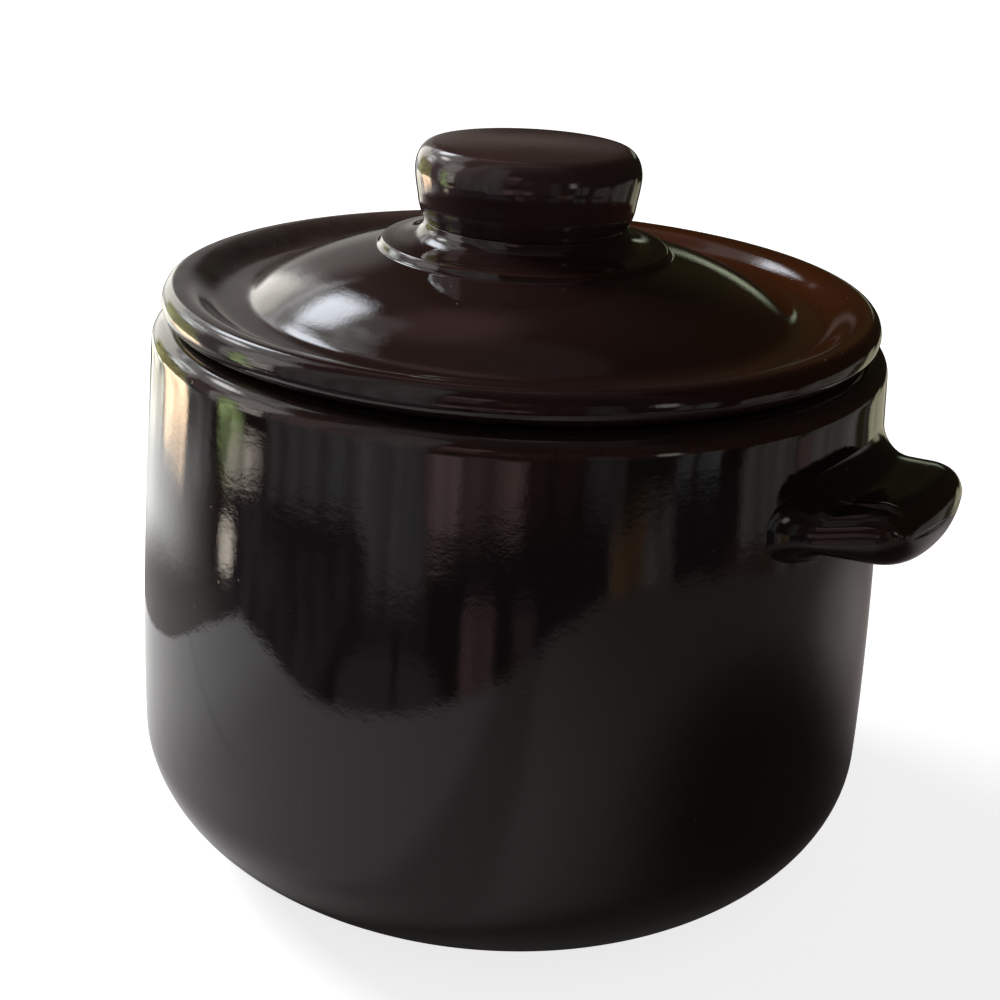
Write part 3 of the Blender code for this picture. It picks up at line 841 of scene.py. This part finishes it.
def lay_table():
    """The table top, which only the glaze mirrors: pale boards with painted light and shade, a painted
    shadow band and a thin darker line on them.
    """
    pale = bpy.data.materials.new("pale_table")
    pale.use_nodes = True
    tree = pale.node_tree
    shader = tree.nodes["Principled BSDF"]
    shader.inputs["Roughness"].default_value = 0.6
    shader.inputs["Specular IOR Level"].default_value = 0.1
    way = seen_from_camera(tree, "Object")
    x, y, _ = node(tree, "ShaderNodeSeparateXYZ", Vector=way).outputs
    # Painted light: the boards are lighter on the left, towards the window, with a painted glare of the
    # window on that side.
    left_pine = (0.76, 0.73, 0.73, 1.0)
    right_pine = (0.38, 0.33, 0.31, 1.0)
    painted_glare_pine = (1.0, 0.98, 0.97, 1.0)
    pine = mixed(tree, ramp(tree, x, -0.12, 0.2), left_pine, right_pine)
    towards_window = maths(tree, "MULTIPLY_ADD", x, -0.85, maths(tree, "MULTIPLY", y, 0.53))
    pine = mixed(tree, ramp(tree, towards_window, 0.085, 0.14), pine, painted_glare_pine)
    # Painted light and shade: a painted pool of light makes it brighter at the back on the right, and the
    # pot's painted shadow lies beside it, where nothing lights it.
    for middle, inside, outside, amount, colour in (
        ((0.24, 0.06, 0.0), 0.02, 0.1, 0.7, (0.85, 0.78, 0.75, 1.0)),
        ((0.16, -0.08, 0.0), 0.05, 0.13, 0.7, (0.08, 0.06, 0.055, 1.0)),
    ):
        away = node(tree, "ShaderNodeVectorMath", _0=way, _1=middle)
        away.operation = "DISTANCE"
        share = maths(tree, "MULTIPLY", ramp(tree, away.outputs["Value"], outside, inside), amount)
        pine = mixed(tree, share, pine, colour)
    # A painted shadow band lies across the table on a slant and darkens it.
    shadow_band_brown = (0.1, 0.085, 0.08, 1.0)
    slant = maths(tree, "MULTIPLY_ADD", y, 0.268, x)
    slant = maths(tree, "ABSOLUTE", maths(tree, "ADD", slant, 0.058))
    band = maths(tree, "MULTIPLY", ramp(tree, slant, 0.034, 0.012), 0.4)
    pine = mixed(tree, band, pine, shadow_band_brown)
    # A thin darker line across the boards, left of the pot.
    dark_line_grey = (0.2, 0.2, 0.2, 1.0)
    beside = maths(tree, "ABSOLUTE", maths(tree, "ADD", maths(tree, "ADD", x, y), 0.2145))
    on_dark_line = ramp(tree, beside, 2.2 * MM, 1.0 * MM)
    dark_line = maths(tree, "MULTIPLY", on_dark_line, ramp(tree, x, -0.13, -0.15))
    pine = mixed(tree, maths(tree, "MULTIPLY", dark_line, 0.35), pine, dark_line_grey)
    feed(tree, shader.inputs["Base Color"], pine)
    arrange(tree)
    edge = (
        (-258, -82), (-222, -126), (-177, -152), (-142, -181), (-73, -240), (-35, -265), (20, -300),
        (78, -331), (149, -347), (231, -316), (299, -248), (333, -168), (345, -60), (335, 60),
        (280, 200), (150, 280), (20, 260), (-80, 160), (-150, 82), (-176, 50), (-203, 14),
        (-229, -17), (-247, -50),
    )
    table = sheet("table_top", [(x * MM, y * MM, TABLE_LEVEL) for x, y in edge], pale)
    table.visible_camera = False
    table.visible_shadow = False


def hang_curtain():
    """A sheer pale curtain behind the pot on the left, painted as a glowing sheet which only the glaze
    mirrors.
    """
    sheer, tree = empty_material("glowing_curtain")
    left, right, low, high, back = -0.28, 0.0, 0.14, 0.4, 0.4
    x, _, z = node(tree, "ShaderNodeSeparateXYZ", Vector=seen_from_camera(tree, "Object")).outputs
    # Its right edge hangs on a slant: the higher it is, the further to the left.
    side = ramp(tree, maths(tree, "MULTIPLY_ADD", z, 0.6, x), 0.11, 0.04)
    upper_edge = ramp(tree, z, high, 0.3)
    lower_part = maths(tree, "MULTIPLY_ADD", ramp(tree, z, 0.22, 0.16), 0.18, 0.27)
    amount = maths(tree, "MULTIPLY", maths(tree, "MULTIPLY", side, upper_edge), lower_part)
    add_glow(tree, node(tree, "ShaderNodeBsdfTransparent"), (1.0, 0.97, 0.92, 1.0), amount)
    corners = ((left, back, low), (right, back, low), (right, back, high), (left, back, high))
    curtain = sheet("curtain", corners, sheer)
    curtain.visible_camera = False
    curtain.visible_diffuse = False
    curtain.visible_shadow = False


def panel_group():
    """A soft-edged panel in a direction: 1 inside its half sizes in degrees, 0 outside.

    With x and y the offsets divided by the half sizes, the distance is (|x|^p + |y|^p)^(1/p).
    """
    inputs = [(label, "Float") for label in PANEL_INPUTS]
    group, given, result = new_group("soft_panel", inputs, (("Mask", "Float"),))
    x = maths(group, "SUBTRACT", given["Azimuth"], given["Centre Azimuth"])
    x = maths(group, "WRAP", x, 180.0, -180.0)
    y = maths(group, "SUBTRACT", given["Elevation"], given["Centre Elevation"])
    lean = maths(group, "MULTIPLY", y, given["Lean"])
    slope = maths(group, "MULTIPLY", x, given["Slope"])
    x = maths(group, "DIVIDE", maths(group, "SUBTRACT", x, lean), given["Half Width"])
    y = maths(group, "DIVIDE", maths(group, "SUBTRACT", y, slope), given["Half Height"])
    x = maths(group, "POWER", maths(group, "ABSOLUTE", x), given["Squareness"])
    y = maths(group, "POWER", maths(group, "ABSOLUTE", y), given["Squareness"])
    root = maths(group, "DIVIDE", 1.0, given["Squareness"])
    distance = maths(group, "POWER", maths(group, "ADD", x, y), root)
    inside = maths(group, "SUBTRACT", 1.0, given["Softness"])
    feed(group, result["Mask"], ramp(group, distance, 1.0, inside))
    arrange(group)
    return group


# What the glaze mirrors, painted in this order. Directions are in degrees from the pot:
# azimuth 0 is towards the camera and grows to its right, elevation 0 is level.
# azimuth, elevation, half width, half height, lean, slope, squareness, softness, colour, texture
ROOM = (
    # plain surfaces of the room
    (128, 10, 72, 62, 0.0, 0.0, 8, 0.1, (0.015, 0.013, 0.007), "none"),
    (-158, 60, 34, 15, 0.0, 0.0, 2, 0.8, (0.3, 0.19, 0.17), "none"),
    (164, 17, 12, 14, 0.0, 0.0, 3, 0.8, (0.03, 0.027, 0.011), "none"),
    (0, 88, 180, 8, 0.0, 0.0, 6, 0.6, (0.3, 0.22, 0.2), "none"),
    (-72, 62, 48, 26, 0.0, 0.0, 3, 0.6, (0.26, 0.24, 0.235), "none"),
    (-50, 14, 28, 48, 0.0, 0.0, 8, 0.12, (0.36, 0.35, 0.36), "folds"),
    (-38, 20, 10, 42, 0.0, 0.0, 8, 0.15, (0.42, 0.4, 0.41), "folds"),
    (26, -6, 6, 24, 0.0, 0.0, 8, 0.1, (0.16, 0.155, 0.16), "folds"),
    (-1.5, 11.4, 22.8, 26.8, 0.0, 0.0, 9, 0.02, (0.09, 0.05, 0.045), "folds"),
    (-11, -10, 16, 6.5, 0.0, 0.0, 7, 0.1, (0.4, 0.25, 0.24), "folds"),
    (-17, 8, 7, 22.9, 0.0, 0.0, 4, 0.3, (0.34, 0.21, 0.2), "folds"),
    (-20, -12, 6, 5.5, 0.0, 0.0, 4, 0.3, (0.85, 0.58, 0.56), "folds"),
    (0, 6, 6, 20.6, 0.0, 0.0, 4, 0.4, (0.22, 0.13, 0.12), "folds"),
    (-1, -12, 4.5, 4.5, 0.0, 0.0, 4, 0.3, (0.62, 0.4, 0.38), "folds"),
    (-15, 28, 10, 7, 0.0, 0.0, 3, 0.5, (0.6, 0.4, 0.38), "folds"),
    (-3, 3, 23, 8, 0.0, 0.0, 6, 0.3, (0.09, 0.055, 0.05), "none"),
    (39, -6, 7, 24, 0.0, 0.0, 8, 0.1, (0.03, 0.035, 0.03), "folds"),
    (50, -12, 3, 18, 0.0, 0.0, 6, 0.3, (0.26, 0.26, 0.26), "folds"),
    (58, -12, 4.2, 18, 0.0, 0.0, 6, 0.3, (0.3, 0.3, 0.31), "folds"),
    (80, -14, 12, 14, 0.0, 0.0, 5, 0.3, (0.33, 0.3, 0.27), "folds"),
    (58, -17.1, 10.2, 3.1, 0.0, 0.0, 12, 0.03, (0.03, 0.03, 0.035), "none"),
    (75, -18.6, 13, 1.7, 0.0, 0.0, 5, 0.4, (0.12, 0.07, 0.055), "none"),
    (36, -17.4, 9, 3.2, 0.0, 0.06, 4, 0.5, (0.3, 0.17, 0.09), "leaves"),
    (43, -17.0, 5, 2.9, 0.0, 0.0, 5, 0.3, (0.33, 0.28, 0.25), "leaves"),
    (45, 9, 5, 9, 0.0, 0.0, 3, 0.6, (1.7, 1.6, 1.5), "none"),
    (-66, -21.4, 26, 5.2, 0.0, 0.02, 6, 0.06, (0.12, 0.1, 0.125), "leaves"),
    (-36, -22.6, 17, 4.2, 0.0, 0.02, 6, 0.06, (0.12, 0.1, 0.125), "leaves"),
    (-60, -17.0, 18, 0.9, 0.0, 0.03, 6, 0.4, (0.05, 0.04, 0.06), "none"),
    (3, -18.3, 26, 3.1, 0.0, 0.04, 6, 0.06, (0.03, 0.03, 0.038), "none"),
    (-34, -24.4, 21, 4.3, 0.0, 0.0, 2, 0.08, (0.035, 0.03, 0.04), "none"),
    (-34, -24.4, 17, 3.4, 0.0, 0.0, 2, 0.08, (0.2, 0.18, 0.2), "none"),
    (-32, -22.5, 1.1, 2.2, 0.0, 0.0, 6, 0.3, (0.035, 0.03, 0.04), "none"),
    (-8, -21.2, 5.2, 2.9, 0.0, 0.0, 5, 0.15, (0.42, 0.25, 0.27), "folds"),
    (5, -19.9, 3.8, 1.5, 0.0, 0.0, 3, 0.3, (0.24, 0.15, 0.17), "none"),
    # the garden side and its window
    (-121, 21, 40, 39, 0.25, 0.0, 4, 0.16, (1.0, 1.02, 1.0), "leaves"),
    (-94, 57, 24, 15, 0.0, -0.5, 4, 0.4, (0.06, 0.05, 0.05), "none"),
    (-144.5, 38, 12.5, 8.5, 0.2, 0.0, 4, 0.6, (7.0, 7.4, 8.0), "none"),
    (-118, 35, 13, 6, 0.0, 0.0, 2, 0.8, (8.0, 8.0, 8.0), "none"),
    (-148, 9, 12.5, 15, 0.3, 0.0, 6, 0.25, (2.2, 2.15, 1.95), "none"),
    (-127, 18, 10, 9, 0.0, 0.0, 3, 0.6, (3.4, 3.6, 3.4), "leaves"),
    (-129, -1, 17, 13, 0.0, 0.0, 4, 0.3, (0.9, 0.92, 0.4), "leaves"),
    (-147, 26, 16, 1.3, 0.0, -0.2, 3, 0.6, (2.2, 2.2, 2.3), "none"),
    (-145, 52, 10, 7, 0.0, 0.0, 2, 0.8, (0.5, 0.46, 0.47), "none"),
    (-146, -14.3, 12, 5.6, 0.0, 0.0, 4, 0.25, (2.7, 2.6, 2.2), "leaves"),
    (-125, -14.2, 10.0, 4.9, 0.0, 0.0, 6, 0.2, (7.4, 5.4, 3.6), "leaves"),
    (-108, 4, 7, 18, 0.0, 0.0, 8, 0.15, (0.2, 0.19, 0.21), "folds"),
    (-88, 26, 13, 14, 0.0, 0.0, 4, 0.4, (1.9, 1.85, 1.8), "none"),
    (-86, 4, 9, 15, 0.0, 0.0, 5, 0.3, (2.4, 2.25, 2.1), "leaves"),
    (-93, 0, 5, 14, 0.0, 0.0, 4, 0.3, (1.8, 2.3, 1.1), "leaves"),
    (-108, -15, 6.5, 3.2, 0.0, 0.0, 5, 0.25, (0.4, 0.38, 0.38), "leaves"),
    (-92.5, -13.5, 6.5, 3.4, 0.0, 0.0, 5, 0.3, (2.0, 2.6, 1.1), "leaves"),
    (-87, -15.6, 11, 1.2, 0.0, 0.06, 3, 0.7, (3.0, 2.7, 2.3), "leaves"),
    (-137, -19.8, 43, 4.4, 0.0, 0.03, 4, 0.85, (1.8, 1.8, 1.76), "none"),
    (-128, -26.5, 48, 6.2, 0.0, 0.03, 5, 0.6, (0.42, 0.41, 0.4), "none"),
    (-92.5, -19.3, 4.5, 1.2, 0.0, 0.02, 3, 0.5, (4.2, 3.8, 3.2), "leaves"),
    # behind the pot, to the right
    (112, -12, 22, 12, 0.0, 0.0, 4, 0.3, (0.27, 0.26, 0.23), "folds"),
    (95, -13, 4, 4, 0.0, 0.0, 4, 0.3, (0.3, 0.19, 0.18), "folds"),
    (138, -14, 4.5, 10, 0.0, 0.0, 4, 0.3, (0.6, 0.58, 0.38), "folds"),
    (150, -17, 9, 8, 0.0, 0.0, 4, 0.3, (0.6, 0.55, 0.4), "folds"),
    (127, -14, 4, 8, 0.0, 0.0, 4, 0.4, (0.05, 0.045, 0.02), "none"),
    (-178, 9, 9, 4, 0.0, 0.0, 3, 0.8, (0.14, 0.11, 0.1), "none"),
    (165, 6.0, 10, 3.4, 0.0, -0.3, 3, 0.85, (0.58, 0.66, 0.46), "none"),
)


def room_world():
    """White to the camera, a plain grey fill for light, and the room in reflections."""
    world = bpy.data.worlds.new("studio")
    bpy.context.scene.world = world
    world.use_nodes = True
    tree = world.node_tree
    tree.nodes.clear()
    way = seen_from_camera(tree, "Generated")
    right, ahead, up = node(tree, "ShaderNodeSeparateXYZ", Vector=way).outputs
    back = maths(tree, "MULTIPLY", ahead, -1.0)
    azimuth = maths(tree, "DEGREES", maths(tree, "ARCTAN2", right, back))
    elevation = maths(tree, "DEGREES", maths(tree, "ARCSINE", up))

    # The two textures of the panels: blotches of foliage, and the upright folds of curtains.
    leaves = node(tree, "ShaderNodeTexNoise", Vector=way, Scale=14.0, Detail=4.0)
    across = maths(tree, "MULTIPLY", azimuth, 0.22)
    along = maths(tree, "MULTIPLY", elevation, 0.012)
    line = node(tree, "ShaderNodeCombineXYZ", X=across, Y=along).outputs[0]
    folds = node(tree, "ShaderNodeTexNoise", Vector=line, Scale=1.0, Detail=3.0)
    textures = {
        "leaves": maths(tree, "MULTIPLY_ADD", leaves.outputs["Fac"], 3.2, -0.6),
        "folds": maths(tree, "MULTIPLY", folds.outputs["Fac"], 2.0),
    }

    # Plain floor, walls and ceiling, and then the panels over them.
    floor_brown = (0.03, 0.027, 0.025, 1.0)
    wall_brown = (0.045, 0.032, 0.028, 1.0)
    ceiling_grey = (0.11, 0.085, 0.08, 1.0)
    seen = mixed(tree, ramp(tree, elevation, -30.0, -24.0), floor_brown, wall_brown)
    seen = mixed(tree, ramp(tree, elevation, 30.0, 80.0), seen, ceiling_grey)
    panel = panel_group()
    for *shape, colour, texture in ROOM:
        mask = tree.nodes.new("ShaderNodeGroup")
        mask.node_tree = panel
        for label, value in zip(PANEL_INPUTS, (azimuth, elevation, *shape)):
            feed(tree, mask.inputs[label], value)
        shade = (*colour, 1.0)
        if texture in textures:
            tint = node(tree, "ShaderNodeVectorMath", _0=colour)
            tint.operation = "SCALE"
            feed(tree, tint.inputs["Scale"], textures[texture])
            shade = tint.outputs[0]
        seen = mixed(tree, mask.outputs["Mask"], seen, shade)

    fill_grey = (0.105, 0.105, 0.107, 1.0)
    white = (1.0, 1.0, 1.0, 1.0)
    path = node(tree, "ShaderNodeLightPath").outputs
    shown = mixed(tree, path["Is Glossy Ray"], fill_grey, seen)
    shown = mixed(tree, path["Is Camera Ray"], shown, white)
    light = node(tree, "ShaderNodeBackground", Color=shown, Strength=1.0)
    node(tree, "ShaderNodeOutputWorld", Surface=light.outputs[0])
    arrange(tree)


def set_stage():
    """Builds what is round the pot: the room, the floor, the table, the curtain and two lamps."""
    room_world()
    lay_floor()
    lay_table()
    hang_curtain()
    soft_lamp("window_light", azimuth=-116.0, elevation=40.0, distance=0.85, size=0.5, power=9.0,
              colour=(0.98, 0.99, 1.0))
    soft_lamp("front_fill", azimuth=10.0, elevation=50.0, distance=1.8, size=1.2, power=2.4,
              colour=(1.0, 0.98, 0.95))


def set_camera():
    """Stands the camera where the pot's outline in the photograph puts it."""
    ahead = Vector((
        math.sin(CAMERA_YAW) * math.cos(CAMERA_PITCH),
        math.cos(CAMERA_YAW) * math.cos(CAMERA_PITCH),
        -math.sin(CAMERA_PITCH),
    ))
    right = Vector((math.cos(CAMERA_YAW), -math.sin(CAMERA_YAW), 0.0))
    down = ahead.cross(right)
    c, s = math.cos(CAMERA_ROLL), math.sin(CAMERA_ROLL)
    across = right * c - down * s
    below = right * s + down * c
    place = Matrix((across, -below, -ahead)).transposed().to_4x4()
    place.translation = Vector((0.0, -CAMERA_BACK, CAMERA_HEIGHT))
    data = bpy.data.cameras.new("camera")
    data.sensor_width = 36.0
    data.sensor_fit = "HORIZONTAL"
    data.lens = CAMERA_LENS
    data.clip_start = 0.01
    camera = bpy.data.objects.new("camera", data)
    bpy.context.scene.collection.objects.link(camera)
    camera.matrix_world = Matrix.Rotation(CAMERA_TURN, 4, "Z") @ place
    bpy.context.scene.camera = camera


build_pot()
set_stage()
set_camera()
bpy.context.scene.view_settings.view_transform = "Standard"
bpy.context.view_layer.update()
